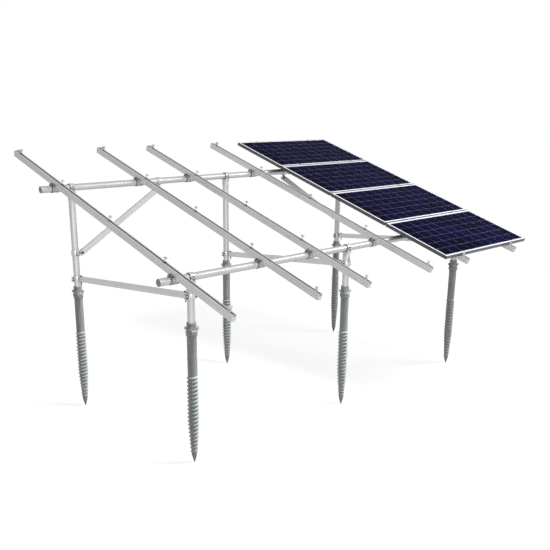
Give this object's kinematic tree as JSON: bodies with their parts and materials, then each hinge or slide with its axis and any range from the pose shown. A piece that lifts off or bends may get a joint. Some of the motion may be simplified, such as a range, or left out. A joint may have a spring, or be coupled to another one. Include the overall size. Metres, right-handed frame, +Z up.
{
  "type": "solar panel ground mount",
  "caption": "Sloping tubular ground mount on helical ground screws, with posts, beams, braces and slotted rails, carrying one column of framed solar panels.",
  "frame": {"origin": "bottom centre of the whole mount's bounding box, level with the ground screws' tips", "axes": "+X along the beams towards the panel column, +Y up the slope towards the rear, +Z up"},
  "size_m": [4.787, 3.3776, 2.6668],
  "materials": {
    "galvanised_steel": "hot-dip galvanised, matt grey",
    "tube_aluminium": "clear anodised, satin",
    "rail_aluminium": "mill finish extrusion, satin",
    "cast_aluminium": "cast, light satin",
    "clamp_steel": "zinc plated strap",
    "frame_aluminium": "anodised panel frame",
    "solar_glass": "dark blue cells under clear glass",
    "box_plastic": "black moulded housing",
    "cap_plastic": "grey moulded plug"
  },
  "bodies": {
    "root": {"beam_end_caps": "cap_plastic", "beam_front": "tube_aluminium", "beam_rear": "tube_aluminium", "brace_clamps_beam": "cast_aluminium", "brace_collars_front": "cast_aluminium", "brace_collars_rear": "cast_aluminium", "ground_screw_front_left": "galvanised_steel", "ground_screw_front_middle": "galvanised_steel", "ground_screw_front_right": "galvanised_steel", "ground_screw_rear_left": "galvanised_steel", "ground_screw_rear_middle": "galvanised_steel", "ground_screw_rear_right": "galvanised_steel", "junction_boxes": "box_plastic", "panel_end_clamps": "rail_aluminium", "panel_frame_1": "frame_aluminium", "panel_frame_2": "frame_aluminium", "panel_frame_3": "frame_aluminium", "panel_frame_4": "frame_aluminium", "panel_laminate_1": "solar_glass", "panel_laminate_2": "solar_glass", "panel_laminate_3": "solar_glass", "panel_laminate_4": "solar_glass", "panel_mid_clamps": "rail_aluminium", "post_front_left": "tube_aluminium", "post_front_middle": "tube_aluminium", "post_front_right": "tube_aluminium", "post_head_caps": "cast_aluminium", "post_heads_front": "cast_aluminium", "post_heads_rear": "cast_aluminium", "post_rear_left": "tube_aluminium", "post_rear_middle": "tube_aluminium", "post_rear_right": "tube_aluminium", "rail_1": "rail_aluminium", "rail_2": "rail_aluminium", "rail_3": "rail_aluminium", "rail_4": "rail_aluminium", "rail_5": "rail_aluminium", "rail_6": "rail_aluminium", "rail_clamps_front": "clamp_steel", "rail_clamps_rear": "clamp_steel", "rear_brace_left": "rail_aluminium", "rear_brace_right": "rail_aluminium", "side_brace_left": "rail_aluminium", "side_brace_middle": "rail_aluminium", "side_brace_right": "rail_aluminium"}
  },
  "joints": []
}
